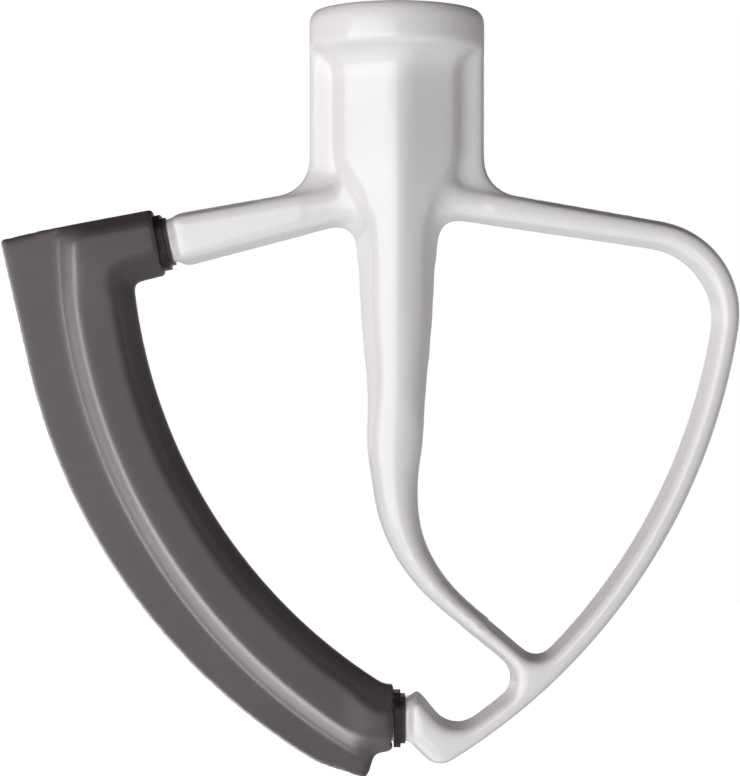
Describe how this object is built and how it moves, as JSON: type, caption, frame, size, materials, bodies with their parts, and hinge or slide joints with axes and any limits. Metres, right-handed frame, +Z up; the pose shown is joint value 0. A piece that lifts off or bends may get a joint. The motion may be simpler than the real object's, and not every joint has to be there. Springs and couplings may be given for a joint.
{
  "type": "stand mixer flat beater",
  "caption": "Coated cast flat beater with a bayonet shaft socket, a ridged stem, an open curved loop on one side and a flexible edge with a wiping blade on the other.",
  "frame": {"origin": "centre of the shaft bore at the hub's top face", "axes": "+Z up the mixer shaft, out of the bore; +X to the open loop, -X to the flexible edge; -Y is the front"},
  "size_m": [0.1256, 0.0296, 0.1295],
  "materials": {
    "white_coat": "smooth gloss coating on cast aluminium",
    "grey_elastomer": "matte moulded elastomer",
    "dark_ring": "matte moulded elastomer"
  },
  "bodies": {
    "root": {"beater_frame": "white_coat", "flex_edge": "grey_elastomer", "upper_seal_ring": "dark_ring", "lower_seal_ring": "dark_ring"}
  },
  "joints": []
}
